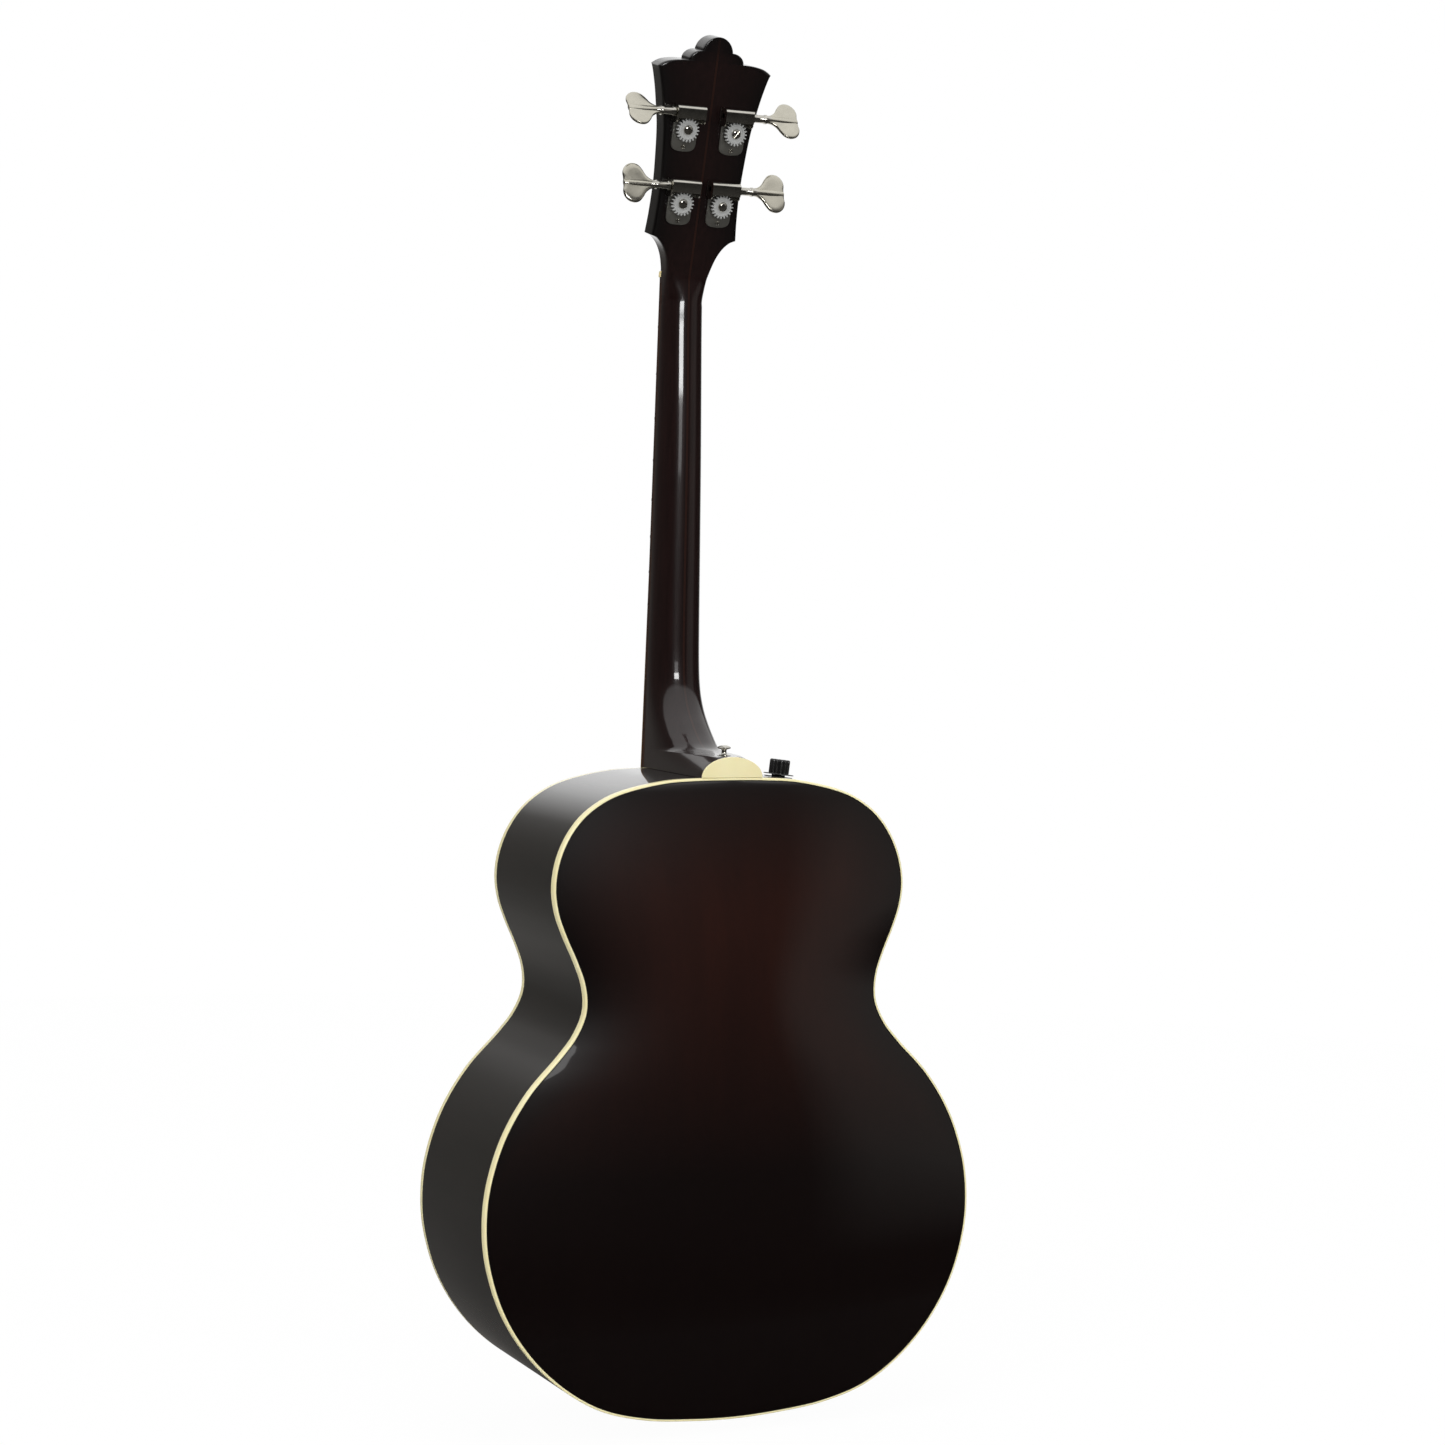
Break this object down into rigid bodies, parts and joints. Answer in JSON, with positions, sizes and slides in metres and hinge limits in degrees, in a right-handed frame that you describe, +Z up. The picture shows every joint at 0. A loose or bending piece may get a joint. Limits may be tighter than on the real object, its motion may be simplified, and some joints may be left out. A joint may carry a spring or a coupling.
{
  "type": "acoustic bass guitar",
  "caption": "Fretted acoustic bass guitar with a hollow arched-back body, set neck, geared tuners, wound strings, strap button, end pin socket and a rim volume control.",
  "frame": {"origin": "centre of the end pin's outer face, at the mouth of its socket", "axes": "+Z runs up the neck to the headstock, the soundboard faces -Y, the arched back faces +Y and the treble side is +X"},
  "size_m": [0.455, 0.1891, 1.1944],
  "materials": {
    "back_lacquer": "polished dark brown lacquer, nearly black at the edges",
    "rim_lacquer": "polished near-black lacquer",
    "top_lacquer": "polished shaded lacquer on spruce",
    "binding": "aged cream, polished",
    "inside_wood": "raw, sanded",
    "ebony": "oiled, satin",
    "bone": "polished bone",
    "black_plastic": "moulded black",
    "nickel": "polished nickel plate",
    "gear_metal": "satin machined",
    "steel": "plain",
    "neck_lacquer": "polished dark brown lacquer",
    "bronze_wire": "round-wound wire"
  },
  "bodies": {
    "instrument": {"back_plate": "back_lacquer", "side_treble": "rim_lacquer", "side_bass": "rim_lacquer", "soundboard": "top_lacquer", "back_binding": "binding", "top_binding": "binding", "heel_cap": "binding", "neck_block": "inside_wood", "tail_block": "inside_wood", "back_lining": "inside_wood", "top_lining": "inside_wood", "x_brace_treble": "inside_wood", "x_brace_bass": "inside_wood", "transverse_brace": "inside_wood", "tone_bar": "inside_wood", "bridge_plate": "inside_wood", "back_brace_1": "inside_wood", "back_brace_2": "inside_wood", "back_brace_3": "inside_wood", "back_brace_4": "inside_wood", "bridge": "ebony", "fingerboard": "ebony", "bridge_pin_1": "ebony", "bridge_pin_2": "ebony", "bridge_pin_3": "ebony", "bridge_pin_4": "ebony", "saddle": "bone", "nut": "bone", "pickguard": "black_plastic", "pot_nut": "black_plastic", "headstock_veneer": "black_plastic", "truss_rod_cover": "black_plastic", "end_pin_jack": "nickel", "strap_button": "nickel", "tuner_plate_1": "nickel", "tuner_plate_2": "nickel", "tuner_plate_3": "nickel", "tuner_plate_4": "nickel", "tuner_bushing_1": "nickel", "tuner_bushing_2": "nickel", "tuner_bushing_3": "nickel", "tuner_bushing_4": "nickel", "volume_pot": "steel", "truss_rod": "steel", "neck": "neck_lacquer", "string_1": "bronze_wire", "string_2": "bronze_wire", "string_3": "bronze_wire", "string_4": "bronze_wire"},
    "key_1": {"tuner_key_1": "nickel"},
    "gear_1": {"tuner_gear_post_1": "gear_metal"},
    "key_2": {"tuner_key_2": "nickel"},
    "gear_2": {"tuner_gear_post_2": "gear_metal"},
    "key_3": {"tuner_key_3": "nickel"},
    "gear_3": {"tuner_gear_post_3": "gear_metal"},
    "key_4": {"tuner_key_4": "nickel"},
    "gear_4": {"tuner_gear_post_4": "gear_metal"},
    "knob": {"volume_knob": "black_plastic", "pot_shaft": "steel"},
    "rod_nut": {"truss_rod_nut": "steel"}
  },
  "joints": [
    {"name": "key_turn_1", "type": "hinge", "parent": "instrument", "child": "key_1", "pos_m": [-0.019, -0.03631, 1.06358], "axis": [-1, 0, 0], "continuous": true},
    {"name": "gear_turn_1", "type": "hinge", "parent": "instrument", "child": "gear_1", "pos_m": [-0.019, -0.04001, 1.04935], "axis": [0, 0.9679, -0.2512], "continuous": true},
    {"name": "key_turn_2", "type": "hinge", "parent": "instrument", "child": "key_2", "pos_m": [-0.0228, -0.02039, 1.12494], "axis": [-1, 0, 0], "continuous": true},
    {"name": "gear_turn_2", "type": "hinge", "parent": "instrument", "child": "gear_2", "pos_m": [-0.0228, -0.02408, 1.11071], "axis": [0, 0.9679, -0.2512], "continuous": true},
    {"name": "key_turn_3", "type": "hinge", "parent": "instrument", "child": "key_3", "pos_m": [0.0228, -0.02039, 1.12494], "axis": [1, 0, 0], "continuous": true},
    {"name": "gear_turn_3", "type": "hinge", "parent": "instrument", "child": "gear_3", "pos_m": [0.0228, -0.02408, 1.11071], "axis": [0, 0.9679, -0.2512], "continuous": true},
    {"name": "key_turn_4", "type": "hinge", "parent": "instrument", "child": "key_4", "pos_m": [0.019, -0.03631, 1.06358], "axis": [1, 0, 0], "continuous": true},
    {"name": "gear_turn_4", "type": "hinge", "parent": "instrument", "child": "gear_4", "pos_m": [0.019, -0.04001, 1.04935], "axis": [0, 0.9679, -0.2512], "continuous": true},
    {"name": "volume_turn", "type": "hinge", "parent": "instrument", "child": "knob", "pos_m": [-0.06361, 0.00915, 0.56136], "axis": [-0.1139, 0, 0.9935], "range_deg": [-150, 150]},
    {"name": "rod_nut_turn", "type": "hinge", "parent": "instrument", "child": "rod_nut", "pos_m": [0, -0.07235, 1.0015], "axis": [0, 0, 1], "range_deg": [-180, 180]}
  ],
  "couplings": [
    {"joint": "gear_turn_1", "follows": "key_turn_1", "ratio": 0.05},
    {"joint": "gear_turn_2", "follows": "key_turn_2", "ratio": 0.05},
    {"joint": "gear_turn_3", "follows": "key_turn_3", "ratio": -0.05},
    {"joint": "gear_turn_4", "follows": "key_turn_4", "ratio": -0.05}
  ]
}
